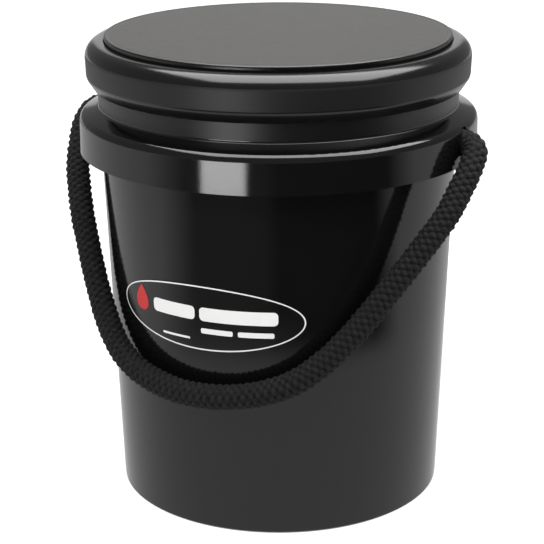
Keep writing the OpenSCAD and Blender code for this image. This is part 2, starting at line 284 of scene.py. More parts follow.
def braided_rope(name, route, radius, reference, rope, first_stitch=0.0, columns=84):
    """Round braid along a route. Two families of strands wind opposite ways: a = n u + s / p, b = n u - s / p,
    where u is turns round the rope, s the distance along it and p the stitch length. A strand's own section is
    a half circle over the fraction of a (or b), and it rises and dips by +-cos(pi b) (or a) as it goes over and
    under. The surface is the higher of the two, so each cell of the lattice shows one plump stitch."""
    roundness, weave_share, wander = 0.97, 0.38, 0.012
    strands = rope.strands // 2
    _, length = smooth_curve(route, 2)
    stitches = length / rope.stitch_length
    samples = int(round(stitches * rope.rows_per_stitch)) + 1
    centre, length = smooth_curve(route, samples)
    tangent = unit_rows(np.gradient(centre, axis=0))
    side = unit_rows(np.cross(np.broadcast_to(reference, tangent.shape), tangent))
    up = np.cross(tangent, side)
    turn = np.arange(columns + 1) / columns
    along = first_stitch + np.linspace(0, stitches, samples)
    a = strands * turn[None, :] + along[:, None]
    b = strands * turn[None, :] - along[:, None]
    cell_a, cell_b = np.floor(a), np.floor(b)

    def height(own, own_cell, crossed, sign):
        section = np.sqrt(np.clip(1 - roundness * (2 * (own - own_cell) - 1) ** 2, 0, None))
        lift = sign * np.where(own_cell % 2 == 0, 1, -1) * np.cos(math.pi * (crossed - 0.5))
        return (1 - weave_share) * section + weave_share * lift

    height_a, height_b = height(a, cell_a, b, 1), height(b, cell_b, a, -1)
    over = (height_a > height_b).astype(float)
    uneven = np.sin(12.9898 * cell_a + 78.233 * (cell_b % strands)) * 43758.5453
    uneven = uneven - np.floor(uneven)
    relief = np.clip(np.maximum(height_a, height_b), 0, 1) * (1 - rope.unevenness * uneven)
    reach = radius - rope.stitch_depth * (1 - relief)
    reach = reach * (1 - wander * (1 + np.sin(along * 0.61) * np.sin(along * 0.233 + 1.7))[:, None])
    angle = TAU * turn[:-1]
    ring = np.cos(angle)[None, :, None] * side[:, None, :] + np.sin(angle)[None, :, None] * up[:, None, :]
    points = centre[:, None, :] + reach[:, :-1, None] * ring
    return grid_object(
        name,
        points,
        end_points=[centre[0], centre[-1]],
        uv=np.stack([a, b], -1),
        attributes={"over": over[:, :-1], "relief": relief[:, :-1]},
    )


def wall_patch(name, across, height):
    """Sheet of ink on the pail's wall: a point at arc distance w round the wall and height z lies at angle
    w / r from the front, where r is the cone's radius at the label's middle, and stands the ink's lift
    outside the cone's radius at z."""
    radius = FOOT_RADIUS + WALL_TAPER * height
    angle = across / (FOOT_RADIUS + WALL_TAPER * LABEL_HEIGHT)
    reach = radius + INK_LIFT
    points = np.stack([reach * np.sin(angle), -reach * np.cos(angle), height], -1)
    piece = grid_object(name, points, wrap_columns=False)
    piece.data.shade_flat()
    backing = piece.modifiers.new("Ink thickness", "SOLIDIFY")
    backing.thickness = INK_LIFT - FILM_THICKNESS + 0.00001
    backing.offset = -1
    return piece


# ---------------------------------------------------------------- shading


def new_group(name, inputs, outputs):
    """Node group with named sockets: an input is a number's default, or None for a vector, and outputs are
    numbers. Returns the group, the sockets that it is given and its output node."""
    group = bpy.data.node_groups.new(name, "ShaderNodeTree")
    for title, default in inputs.items():
        kind = "NodeSocketVector" if default is None else "NodeSocketFloat"
        socket = group.interface.new_socket(title, in_out="INPUT", socket_type=kind)
        if default is not None:
            socket.default_value = default
    for title in outputs:
        group.interface.new_socket(title, in_out="OUTPUT", socket_type="NodeSocketFloat")
    return group, group.nodes.new("NodeGroupInput").outputs, group.nodes.new("NodeGroupOutput")


def feed(tree, node, values):
    """Gives a node's inputs their values. A value that is a socket is linked."""
    for key, value in values.items():
        if isinstance(value, bpy.types.NodeSocket):
            tree.links.new(value, node.inputs[key])
        else:
            node.inputs[key].default_value = value


def add(tree, kind, values=None, **settings):
    """New node of a kind, with its settings and with values for its inputs."""
    node = tree.nodes.new(kind)
    for title, setting in settings.items():
        setattr(node, title, setting)
    feed(tree, node, values or {})
    return node


def math_node(tree, operation, *values, clamp=False):
    """Result of one Math node on values or sockets."""
    return add(tree, "ShaderNodeMath", dict(enumerate(values)), operation=operation, use_clamp=clamp).outputs[0]


def noise(tree, vector, scale, detail=2.0, roughness=0.5):
    """Factor of one Noise Texture node."""
    values = {"Vector": vector, "Scale": scale, "Detail": detail, "Roughness": roughness}
    return add(tree, "ShaderNodeTexNoise", values).outputs["Fac"]


def grain_group():
    """Grain: two octaves of fine noise, like the skin of moulded plastic or rubber. Height is about 0 to 1."""
    inputs = {"Vector": None, "Scale": 900.0, "Coarse": 0.35}
    group, given, end = new_group("Moulded grain", inputs, ["Height", "Patches"])
    fine = noise(group, given["Vector"], given["Scale"], 3.0, 0.6)
    broad = noise(group, given["Vector"], math_node(group, "MULTIPLY", given["Scale"], 0.12), 2.0)
    height = math_node(group, "ADD", fine, math_node(group, "MULTIPLY", broad, given["Coarse"]))
    feed(group, end, {"Height": height, "Patches": noise(group, given["Vector"], 22.0, 4.0, 0.6)})
    return group


def scratch_group():
    """Scratches: noise stretched along two crossing directions and cut to its thin ridges. Mask is 0 to 1."""
    group, given, end = new_group("Fine scratches", {"Vector": None, "Amount": 0.5}, ["Mask"])
    masks = []
    for turn, stretch in ((0.35, (260, 260, 9)), (-0.9, (14, 240, 200))):
        values = {"Vector": given["Vector"], "Rotation": (turn, turn, 0), "Scale": stretch}
        lines = noise(group, add(group, "ShaderNodeMapping", values).outputs[0], 1.0, 1.0)
        away = math_node(group, "ABSOLUTE", math_node(group, "SUBTRACT", lines, 0.5))
        masks.append(math_node(group, "SUBTRACT", 1.0, math_node(group, "MULTIPLY", away, 55.0), clamp=True))
    both = math_node(group, "MAXIMUM", *masks)
    where = math_node(group, "SUBTRACT", noise(group, given["Vector"], 17.0, 2.0), 0.46)
    here = math_node(group, "MULTIPLY", where, 9.0, clamp=True)
    shown = math_node(group, "MULTIPLY", math_node(group, "MULTIPLY", both, here), given["Amount"])
    feed(group, end, {"Mask": shown})
    return group


def wear_group():
    """Edge wear: a band round a given height of the object, broken up by noise. Mask is 1 on the worn spots."""
    group, given, end = new_group("Edge wear", {"Vector": None, "Height": 0.0, "Reach": 0.004}, ["Mask"])
    height = part(group, given["Vector"], "Z")
    away = math_node(group, "ABSOLUTE", math_node(group, "SUBTRACT", height, given["Height"]))
    share = math_node(group, "DIVIDE", away, given["Reach"])
    near = math_node(group, "SUBTRACT", 1.0, share, clamp=True)
    spots = math_node(group, "SUBTRACT", noise(group, given["Vector"], 130.0, 4.0, 0.7), 0.47)
    broken = math_node(group, "MULTIPLY", spots, 7.0, clamp=True)
    feed(group, end, {"Mask": math_node(group, "MULTIPLY", near, broken)})
    return group


def dust_group():
    """Settled dust: specks and a thin film where the surface faces up. Mask is 0 to 1."""
    group, given, end = new_group("Settled dust", {"Vector": None, "Normal": None, "Film": 0.3}, ["Mask"])
    faces_up = math_node(group, "MULTIPLY_ADD", part(group, given["Normal"], "Z"), 0.8, 0.2, clamp=True)
    cloud = noise(group, given["Vector"], 38.0, 5.0, 0.65)
    film = math_node(group, "MULTIPLY", math_node(group, "MULTIPLY", cloud, faces_up), given["Film"])
    specks = add(group, "ShaderNodeTexVoronoi", {"Vector": given["Vector"], "Scale": 240.0})
    away = math_node(group, "MULTIPLY", specks.outputs["Distance"], 13.0)
    speck = math_node(group, "SUBTRACT", 1.0, away, clamp=True)
    lying = math_node(group, "MULTIPLY", speck, math_node(group, "MULTIPLY", faces_up, 0.5))
    feed(group, end, {"Mask": math_node(group, "MAXIMUM", film, lying)})
    return group


def fibre_group():
    """Strand fibres: on a UV of (a, b) strand numbers, plies run along the strand that lies over.
    Height has the plies and the loose fibres, Tone varies from stitch to stitch."""
    inputs = {"UV": None, "Over": 0.0, "Plies": 4.0}
    group, given, end = new_group("Strand fibres", inputs, ["Height", "Tone"])
    over = given["Over"]
    a, b = (part(group, given["UV"], axis) for axis in "XY")
    across, along = mix_value(group, over, b, a), mix_value(group, over, a, b)

    def place(x, y):
        return add(group, "ShaderNodeCombineXYZ", {0: x, 1: y, 2: over}).outputs[0]

    slow = noise(group, place(across, along), 2.3, 1.0)
    shifted = math_node(group, "ADD", across, math_node(group, "MULTIPLY", slow, 0.16))
    turns = math_node(group, "MULTIPLY", math_node(group, "MULTIPLY", shifted, given["Plies"]), TAU)
    stretched = place(math_node(group, "MULTIPLY", across, 26.0), math_node(group, "MULTIPLY", along, 3.2))
    thread = noise(group, stretched, 1.0, 3.0, 0.6)
    height = math_node(group, "MULTIPLY_ADD", math_node(group, "SINE", turns), 0.28, thread)
    cell = place(math_node(group, "FLOOR", across), math_node(group, "FLOOR", along))
    tone = add(group, "ShaderNodeTexWhiteNoise", {"Vector": cell}, noise_dimensions="3D").outputs["Value"]
    feed(group, end, {"Height": height, "Tone": tone})
    return group


GROUPS = {
    "grain": grain_group,
    "scratches": scratch_group,
    "wear": wear_group,
    "dust": dust_group,
    "fibres": fibre_group,
}


def place_group(tree, key, values):
    """Group node of one shared effect, built on its first use."""
    maker = GROUPS[key]
    if callable(maker):
        GROUPS[key] = maker = maker()
    return add(tree, "ShaderNodeGroup", values, node_tree=maker)


def mix_colour(tree, factor, first, second):
    """Colour between two by a mask. A colour is a socket or three numbers."""
    first, second = (
        colour if isinstance(colour, bpy.types.NodeSocket) else (*colour, 1) for colour in (first, second)
    )
    return add(tree, "ShaderNodeMix", {0: factor, 6: first, 7: second}, data_type="RGBA").outputs[2]


def mix_value(tree, factor, first, second):
    """Number between two by a mask."""
    values = {"Factor": factor, "A": first, "B": second}
    return add(tree, "ShaderNodeMix", values, data_type="FLOAT").outputs["Result"]


def part(tree, vector, axis):
    """One part, X, Y or Z, of a vector."""
    return add(tree, "ShaderNodeSeparateXYZ", {0: vector}).outputs[axis]


def between(tree, factor, low, high):
    """Value that goes from low to high as a mask goes from 0 to 1."""
    return add(tree, "ShaderNodeMapRange", {"Value": factor, "To Min": low, "To Max": high}).outputs["Result"]


def new_material(name, **constants):
    """Material with one Principled shader. The constants are set on the shader's own sockets."""
    material = bpy.data.materials.new(name)
    material.use_nodes = True
    tree = material.node_tree
    shader = tree.nodes["Principled BSDF"]
    for title, value in constants.items():
        shader.inputs[title.replace("_", " ")].default_value = value
    material.diffuse_color = shader.inputs["Base Color"].default_value
    return material, tree, shader


def object_place(tree):
    """Object coordinates."""
    return add(tree, "ShaderNodeTexCoord").outputs["Object"]


def surface_normal(tree):
    """Shading normal in world space."""
    return add(tree, "ShaderNodeNewGeometry").outputs["Normal"]


def bump(tree, shader, height, distance, strength=1.0):
    """Bump node from a height, in metres of relief, into the shader's normal."""
    node = add(tree, "ShaderNodeBump", {"Height": height, "Distance": distance, "Strength": strength})
    tree.links.new(node.outputs["Normal"], shader.inputs["Normal"])


DUST_COLOUR = (0.16, 0.15, 0.135)
RUBBER_DUST_COLOUR = (0.2, 0.19, 0.17)


def moulded_plastic(
    name, colour, gloss, *, rough_spread, ripple, grain, wear_heights, dust, worn_colour, scratches,
    satin_above=None,
):
    """Moulded plastic: a faint ripple from the mould in its reflections, fine scratches and scuffed edges,
    with dust where it faces up. wear_heights are the (height, reach) of its scuffed edges. Upright faces above
    the height satin_above are dulled, as the lid rubs on them."""
    marks_rough, dust_rough, rubbed_rough = 0.12, 0.3, 0.3
    grain_relief, scratch_relief = 0.02, 0.03
    material, tree, shader = new_material(name, Roughness=gloss)
    place, normal = object_place(tree), surface_normal(tree)
    skin = place_group(tree, "grain", {"Vector": place, "Scale": grain})
    lines = place_group(tree, "scratches", {"Vector": place, "Amount": scratches}).outputs["Mask"]
    lying = place_group(tree, "dust", {"Vector": place, "Normal": normal, "Film": dust}).outputs["Mask"]
    masks = [
        place_group(tree, "wear", {"Vector": place, "Height": height, "Reach": reach}).outputs["Mask"]
        for height, reach in wear_heights
    ]
    scuffs = masks[0] if len(masks) == 1 else math_node(tree, "MAXIMUM", *masks)
    patches = skin.outputs["Patches"]
    base = mix_colour(tree, patches, [0.8 * c for c in colour], [1.2 * c for c in colour])
    base = mix_colour(tree, scuffs, base, worn_colour)
    base = mix_colour(tree, lying, base, DUST_COLOUR)
    rough = between(tree, patches, gloss, gloss + rough_spread)
    rough = math_node(tree, "MULTIPLY_ADD", math_node(tree, "ADD", scuffs, lines), marks_rough, rough)
    rough = math_node(tree, "MULTIPLY_ADD", lying, dust_rough, rough, clamp=True)
    if satin_above is not None:
        upright = math_node(tree, "LESS_THAN", math_node(tree, "ABSOLUTE", part(tree, normal, "Z")), 0.2)
        above = math_node(tree, "GREATER_THAN", part(tree, place, "Z"), satin_above)
        rubbed = math_node(tree, "MULTIPLY", upright, above)
        rough = math_node(tree, "MULTIPLY_ADD", rubbed, rubbed_rough, rough, clamp=True)
    feed(tree, shader, {"Base Color": base, "Roughness": rough})
    wave = math_node(tree, "MULTIPLY", noise(tree, place, 34.0, 1.0), ripple)
    relief = math_node(tree, "MULTIPLY_ADD", skin.outputs["Height"], grain_relief, wave)
    relief = math_node(tree, "SUBTRACT", relief, math_node(tree, "MULTIPLY", lines, scratch_relief))
    bump(tree, shader, relief, 0.001)
    return material


def rope_material(name, colour):
    """Braided fibre: plies along each strand, painted shade in the hollows between stitches and a soft fibre
    sheen.
    """
    material, tree, shader = new_material(
        name, Roughness=0.8, Specular_IOR_Level=0.24, Sheen_Weight=0.03, Sheen_Roughness=0.5
    )
    uv = add(tree, "ShaderNodeUVMap", uv_map="UVMap").outputs["UV"]
    over, relief = (
        add(tree, "ShaderNodeAttribute", attribute_name=title).outputs["Fac"] for title in ("over", "relief")
    )
    fibres = place_group(tree, "fibres", {"UV": uv, "Over": over, "Plies": 4.0})
    painted_shade_colour, bright_colour, fuzz_colour = ([share * c for c in colour] for share in (0.02, 1.9, 3.2))
    tone = between(tree, fibres.outputs["Tone"], 0.0, 0.45)
    # The colour falls to near black in the hollows between stitches: painted shade.
    base = mix_colour(tree, relief, painted_shade_colour, mix_colour(tree, tone, colour, bright_colour))
    fuzz = math_node(tree, "SUBTRACT", noise(tree, object_place(tree), 1400.0, 2.0), 0.62)
    loose = math_node(tree, "MULTIPLY", fuzz, 5.0, clamp=True)
    base = mix_colour(tree, math_node(tree, "MULTIPLY", loose, relief), base, fuzz_colour)
    roughness = between(tree, fibres.outputs["Height"], 0.9, 0.62)
    feed(tree, shader, {"Base Color": base, "Roughness": roughness})
    bump(tree, shader, fibres.outputs["Height"], 0.00035)
    return material


def rubber_material(name, colour, rough, grain, depth, patch=0.25, side=None):
    """Rubber or foam: fine grain, slow changes of tone and a dusting of rubbed spots. side is the colour and
    roughness of its upright faces, where they differ from the top. A darker side colour is painted shade."""
    material, tree, shader = new_material(name, Roughness=rough)
    place, normal = object_place(tree), surface_normal(tree)
    skin = place_group(tree, "grain", {"Vector": place, "Scale": grain})
    lying = place_group(tree, "dust", {"Vector": place, "Normal": normal, "Film": 0.06}).outputs["Mask"]
    darker, lighter = ([share * c for c in colour] for share in (1 - patch, 1 + patch))
    base = mix_colour(tree, skin.outputs["Patches"], darker, lighter)
    base = mix_colour(tree, lying, base, RUBBER_DUST_COLOUR)
    roughness = between(tree, skin.outputs["Height"], rough - 0.07, rough + 0.09)
    # Upright faces take the side colour. On the pad it is darker than the top, painted shade on its edge; the
    # side roughness is the edge's own.
    if side:
        top = math_node(tree, "MULTIPLY_ADD", part(tree, normal, "Z"), 3.0, -1.8, clamp=True)
        base = mix_colour(tree, top, side[0], base)
        roughness = mix_value(tree, top, side[1], roughness)
    feed(tree, shader, {"Base Color": base, "Roughness": roughness})
    bump(tree, shader, skin.outputs["Height"], depth)
    return material


def ink_material(name, colour):
    """Printed ink on gloss film: nearly even colour with a slight mottle."""
    material, tree, shader = new_material(name, Roughness=0.3)
    skin = place_group(tree, "grain", {"Vector": object_place(tree), "Scale": 700.0})
    base = mix_colour(tree, skin.outputs["Patches"], [0.93 * c for c in colour], colour)
    roughness = between(tree, skin.outputs["Height"], 0.25, 0.38)
    feed(tree, shader, {"Base Color": base, "Roughness": roughness})
    bump(tree, shader, skin.outputs["Height"], 0.00001)
    return material


def dress(piece, material, body=None, replaced=()):
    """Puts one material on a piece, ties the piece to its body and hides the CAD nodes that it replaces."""
    piece.data.materials.clear()
    piece.data.materials.append(material)
    if body:
        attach(piece, body)
    if replaced:
        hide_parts(*replaced)
    return piece


def dress_node(node, material):
    """Gives a CAD node that stays visible its material."""
    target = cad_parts[node]
    if not target.material_slots:
        target.data.materials.append(material)
    for index in range(len(target.material_slots)):
        target.material_slots[index].material = material


# ---------------------------------------------------------------- settings


class RopeSettings(bpy.types.PropertyGroup):
    diameter: FloatProperty(
        name="Diameter", description="Rope across its highest stitches", default=0.021, unit="LENGTH"
    )
    strands: IntProperty(
        name="Strands", description="Strands in the braid, half winding each way", default=12
    )
    stitch_length: FloatProperty(
        name="Stitch Length", description="Rope length per stitch", default=0.0058, unit="LENGTH"
    )
    stitch_depth: FloatProperty(
        name="Stitch Depth", description="From a stitch's top to the hollow beside it",
        default=0.0034, unit="LENGTH",
    )
    rows_per_stitch: IntProperty(name="Rows per Stitch", description="Mesh rows along one stitch", default=8)
    unevenness: FloatProperty(
        name="Unevenness", description="How much stitches differ in height", default=0.14
    )
    wrap_diameter: FloatProperty(
        name="Wrap Diameter", description="Rope pulled tight in its knot", default=0.0176, unit="LENGTH"
    )
    colour: FloatVectorProperty(
        name="Colour", description="Colour of the fibre", default=(0.0062, 0.0062, 0.006), subtype="COLOR"
    )


class PailSettings(bpy.types.PropertyGroup):
    colour: FloatVectorProperty(
        name="Colour", description="Colour of the pail's plastic",
        default=(0.0045, 0.0045, 0.0045), subtype="COLOR",
    )
    gloss: FloatProperty(name="Roughness", description="Roughness of the clean plastic", default=0.06)
    ripple: FloatProperty(name="Ripple", description="Mould ripple in the reflections", default=0.05)


class LidSettings(bpy.types.PropertyGroup):
    colour: FloatVectorProperty(
        name="Colour", description="Colour of the lid's plastic",
        default=(0.004, 0.004, 0.0038), subtype="COLOR",
    )
    gloss: FloatProperty(name="Roughness", description="Roughness of the clean plastic", default=0.15)


class PadSettings(bpy.types.PropertyGroup):
    crown: FloatProperty(
        name="Crown", description="Rise of the pad's middle above its edge", default=0.001, unit="LENGTH"
    )
    edge_roll: FloatProperty(
        name="Edge Roll", description="Radius of the rolled upper edge", default=0.0016, unit="LENGTH"
    )
    colour: FloatVectorProperty(
        name="Colour", description="Colour of the pad's skin",
        default=(0.026, 0.0243, 0.0205), subtype="COLOR",
    )


class LabelSettings(bpy.types.PropertyGroup):
    keyline_width: FloatProperty(
        name="Keyline Width", description="Oval keyline across the label", default=0.166, unit="LENGTH"
    )
    keyline_height: FloatProperty(
        name="Keyline Height", description="Oval keyline up the label", default=0.052, unit="LENGTH"
    )
    keyline_weight: FloatProperty(
        name="Keyline Weight", description="Breadth of the keyline", default=0.0011, unit="LENGTH"
    )
    light_ink: FloatVectorProperty(
        name="Light Ink", description="Keyline and bars", default=(0.86, 0.86, 0.85), subtype="COLOR"
    )
    drop_ink: FloatVectorProperty(
        name="Drop Ink", description="Water drop", default=(0.56, 0.006, 0.005), subtype="COLOR"
    )


class StageSettings(bpy.types.PropertyGroup):
    view_turn: FloatProperty(
        name="View Turn", description="Camera's turn round the pail from its front",
        default=math.radians(26), subtype="ANGLE",
    )
    view_distance: FloatProperty(
        name="View Distance", description="Camera's level distance from the pail's axis",
        default=1.38931, unit="LENGTH",
    )
    view_height: FloatProperty(
        name="View Height", description="Camera's height above the floor", default=0.63108, unit="LENGTH"
    )
    lens: FloatProperty(
        name="Lens", description="Focal length in millimetres on a 36 mm sensor", default=116.97
    )
    table_radius: FloatProperty(
        name="Table Radius", description="White table seen in the pail's side", default=0.43, unit="LENGTH"
    )


class WashBucketSettings(bpy.types.PropertyGroup):
    rope: PointerProperty(type=RopeSettings, name="Rope", description="Rope handle")
    pail: PointerProperty(type=PailSettings, name="Pail", description="Pail")
    lid: PointerProperty(type=LidSettings, name="Lid", description="Seat lid")
    pad: PointerProperty(type=PadSettings, name="Pad", description="Seat pad")
    label: PointerProperty(type=LabelSettings, name="Label", description="Printed label")
    stage: PointerProperty(type=StageSettings, name="Stage", description="Camera, floor and light")


# ---------------------------------------------------------------- pieces


class WASHBUCKET_OT_camera(bpy.types.Operator):
    """Camera at the height, turn and lens that frame the bucket"""

    bl_idname = "washbucket.camera"
    bl_label = "Camera"

    # The camera's forward, right and up axes before it turns round the pail
    FORWARD = (-0.00411628, 0.94978629, -0.31287228)
    RIGHT = (0.99998007, 0.00241166, -0.00583508)
    UP = (0.00478754, 0.31289006, 0.94977729)

    def execute(self, context):
        stage = context.scene.wash_bucket.stage
        lens = bpy.data.cameras.new("Camera")
        lens.lens = stage.lens
        lens.sensor_width = 36
        lens.clip_end = 50
        camera = bpy.data.objects.new("Camera", lens)
        context.scene.collection.objects.link(camera)
        axes = Matrix((self.RIGHT, self.UP, [-f for f in self.FORWARD])).transposed().to_4x4()
        turn = Matrix.Rotation(stage.view_turn, 4, "Z")
        camera.matrix_world = turn @ Matrix.Translation((0, -stage.view_distance, stage.view_height)) @ axes
        context.scene.camera = camera
        return {"FINISHED"}


class WASHBUCKET_OT_rope(bpy.types.Operator):
    """Rope handle with its stopper knots and shrunk end sleeves"""

    bl_idname = "washbucket.rope"
    bl_label = "Rope Handle"

    def execute(self, context):
        rope = context.scene.wash_bucket.rope
        fibre = rope_material("Rope fibre", list(rope.colour))
        sleeve_skin = moulded_plastic(
            "Shrunk sleeve", (0.02, 0.02, 0.021), gloss=0.38, rough_spread=0.1, ripple=0.05, grain=900.0,
            wear_heights=[(HOLE_HEIGHT, 0.002)], dust=0.2, worn_colour=(0.08, 0.08, 0.08), scratches=0.3,
        )
        route = [(MM * x, MM * y, MM * z) for x, y, z in ROPE_HALF]
        route += [(-x, y, z) for x, y, z in reversed(route[:-1])]
        handle = braided_rope("rope_braid", route, rope.diameter / 2, LOOP_NORMAL, rope)
        dress(handle, fibre, "handle", ["rope"])
        for side, word in ((-1, "left"), (1, "right")):
            knot = self.knot(f"knot_{word}_braid", side, rope)
            dress(knot, fibre, "handle", [f"knot_{word}"])
            sleeve = self.sleeve(f"end_sleeve_{word}_skin", side)
            dress(sleeve, sleeve_skin, "handle", [f"end_sleeve_{word}"])
        path, _ = smooth_curve(route, 240)
        return {"FINISHED"}

    def knot(self, name, side, rope):
        """Stopper knot: a straight core along X, and the same rope wound round it. The winding's middle line is
        (x, r cos t, r sin t), where x moves one wrap's width per turn and r dips to the core at both ends."""
        turns, first_angle, slack, dip_depth, dip_share, pause = 2.15, 0.8, 0.0003, 0.62, 0.16, 0.12
        wrap_radius = rope.wrap_diameter / 2
        reach = (KNOT_HIGH.z - KNOT_LOW.z) / 2 - wrap_radius - 0.0004
        knot_end = SLEEVE_HIGH.x + 0.004
        first, last = KNOT_FACE - wrap_radius - slack, knot_end + wrap_radius + slack
        t = np.linspace(0, 1, 60)
        rising, falling = (np.clip((dip_share - end) / dip_share, 0, 1) ** 2 for end in (t, 1 - t))
        dip = 1 - dip_depth * (rising + falling)
        sideways = np.clip((t - pause) / (1 - 2 * pause), 0, 1)
        angle = TAU * turns * t + first_angle
        winding = np.stack([
            first + (last - first) * sideways,
            reach * dip * np.cos(angle),
            HOLE_HEIGHT + reach * dip * np.sin(angle),
        ], -1)
        core = [(x, 0, HOLE_HEIGHT) for x in (KNOT_FACE, (KNOT_FACE + TAIL_END) / 2, TAIL_END)]
        wound = braided_rope(name, winding, wrap_radius, (1, 0, 0), rope, 0.4, columns=64)
        straight = braided_rope(
            name + "_core", core, rope.diameter / 2 - 0.0002, (0, 1, 0), rope, 0.1, columns=64
        )
        knot = join_pieces(name, [wound, straight])
        if side < 0:
            knot.data.transform(Matrix.Diagonal((-1, 1, 1, 1)))
            knot.data.flip_normals()
        return knot

    def sleeve(self, name, side):
        """Shrunk sleeve over the rope's cut end: a tube with rounded lips, drawn in over the end and closed."""
        outer = (SLEEVE_HIGH.z - SLEEVE_LOW.z) / 2 / MM
        inner = outer - 0.9
        low, high = SLEEVE_LOW.x / MM, SLEEVE_HIGH.x / MM
        profile = np.vstack([
            [(0, low - 0.5)],
            [(inner * 0.5, low - 0.45)],
            arc((outer - 1.4, low + 1.0), 1.4, -90, 0, 5),
            [(outer - 0.12, low + 3.1), (outer, low + 4.4), (outer - 0.16, low + 6.0)],
            arc((outer - 0.5, high - 0.45), 0.45, 0, 90, 4),
            [(inner + 0.1, high - 0.1), (inner - 0.4, high - 1.2)],
            [(0, high - 1.2)],
        ])
        sleeve = turned(name, profile, 96, axis="x")
        sleeve.data.transform(Matrix.Translation((0, 0, HOLE_HEIGHT)))
        if side < 0:
            sleeve.data.transform(Matrix.Diagonal((-1, 1, 1, 1)))
            sleeve.data.flip_normals()
        return sleeve


class WASHBUCKET_OT_pail(bpy.types.Operator):
    """Glossy moulded pail with its band, webs and rope holes"""

    bl_idname = "washbucket.pail"
    bl_label = "Pail"

    def execute(self, context):
        pail = context.scene.wash_bucket.pail
        plastic = moulded_plastic(
            "Glossy pail plastic", list(pail.colour), pail.gloss, rough_spread=0.04, ripple=pail.ripple,
            grain=1200.0, wear_heights=[(0.0, 0.004), (RIM_HEIGHT, 0.003)], dust=0.015,
            worn_colour=(0.016, 0.016, 0.0155), scratches=0.12, satin_above=LEDGE_HEIGHT,
        )
        dress(cad_copy("bucket_shell", "pail"), plastic, "bucket", ["bucket_shell"])
        return {"FINISHED"}


class WASHBUCKET_OT_label(bpy.types.Operator):
    """Oval label: gloss film with a keyline, a water drop and plain bars"""

    bl_idname = "washbucket.label"
    bl_label = "Label"

    # Bars as (middle across, middle above the label's centre, length, height), in millimetres
    BARS = (
        (-24, 3.5, 40, 11), (31, 3.5, 62, 11),
        (14, -10, 26, 4.2), (45, -10, 28, 4.2),
        (-22, -17.5, 26, 1.8),
    )
    DROP = (-58, 5.5, 15, 21)

    def execute(self, context):
        label = context.scene.wash_bucket.label
        film = moulded_plastic(
            "Label film", (0.004, 0.004, 0.004), gloss=0.14, rough_spread=0.05, ripple=0.03, grain=1500.0,
            wear_heights=[(FILM_LOW.z, 0.0006)], dust=0.02, worn_colour=(0.05, 0.05, 0.05), scratches=0.3,
        )
        dress_node("label_film", film)
        light = ink_material("Light ink", list(label.light_ink))
        red = ink_material("Drop ink", list(label.drop_ink))
        printed = [self.keyline("keyline", label)]
        printed += [self.bar(f"bar_{i + 1}", bar) for i, bar in enumerate(self.BARS)]
        for piece in printed:
            dress(piece, light, "bucket")
        dress(self.drop("water_drop"), red, "bucket")
        return {"FINISHED"}

    def keyline(self, name, label):
        """Oval ring: (w, z) = ((A - q) cos a, (B - q) sin a), with q across the line's weight."""
        a = np.linspace(0, TAU, 241)[:, None]
        q = np.linspace(0, label.keyline_weight, 3)[None, :]
        across = (label.keyline_width / 2 - q) * np.cos(a)
        height = LABEL_HEIGHT + (label.keyline_height / 2 - q) * np.sin(a)
        ring = wall_patch(name, across[::-1], height[::-1])
        merge_doubles(ring.data, 1e-6)
        return ring

    def bar(self, name, bar):
        """Bar with round ends: z = v h(w) for v from -1 to 1, where h falls in a quarter circle at each end."""
        centre, rise, length, height = (MM * value for value in bar)
        half, corner = height / 2, height * 0.32
        s = np.linspace(0, 1, 9)
        ends = corner * (1 - np.cos(s * math.pi / 2))
        middle_part = np.linspace(corner, length - corner, 30)[1:-1]
        w = np.concatenate([ends, middle_part, (length - ends)[::-1]])
        inset = np.clip(1 - np.minimum(w, length - w) / corner, 0, 1)
        reach = half - corner * (1 - np.sqrt(1 - inset**2))
        v = np.linspace(-1, 1, 5)[None, :]
        across = centre - length / 2 + np.repeat(w[:, None], 5, 1)
        return wall_patch(name, across, LABEL_HEIGHT + rise + v * reach[:, None])

    def drop(self, name):
        """Water drop: half width W (1 - t) sqrt(t) / 0.385 at the share t of its height, lowest at t = 0."""
        centre, rise, width, height = (MM * value for value in self.DROP)
        t = np.linspace(0, 1, 40) ** 1.6
        half = width / 2 * (1 - t) * np.sqrt(t) / 0.3849
        v = np.linspace(-1, 1, 9)[None, :]
        across = centre + v * half[:, None]
        up = LABEL_HEIGHT + rise - height / 2 + np.repeat(height * t[:, None], 9, 1)
        piece = wall_patch(name, across[:, ::-1], up)
        merge_doubles(piece.data, 1e-6)
        return piece


class WASHBUCKET_OT_lid(bpy.types.Operator):
    """Satin lid with its gasket and the adhesive sheet under the pad"""

    bl_idname = "washbucket.lid"
    bl_label = "Lid"

    def execute(self, context):
        lid = context.scene.wash_bucket.lid
        plastic = moulded_plastic(
            "Satin lid plastic", list(lid.colour), lid.gloss, rough_spread=0.05, ripple=0.04, grain=1500.0,
            wear_heights=[(LID_FOOT, 0.002)], dust=0.02, worn_colour=(0.012, 0.012, 0.0115), scratches=0.2,
            satin_above=LEDGE_HEIGHT,
        )
        dress(cad_copy("lid_shell", "lid"), plastic, "lid", ["lid_shell"])
        gasket = rubber_material("Gasket rubber", (0.03, 0.03, 0.03), rough=0.75, grain=1600.0, depth=0.00008)
        dress_node("lid_gasket", gasket)
        adhesive = rubber_material("Adhesive sheet", (0.05, 0.05, 0.045), rough=0.6, grain=900.0, depth=0.00003)
        dress_node("seat_adhesive", adhesive)
        return {"FINISHED"}


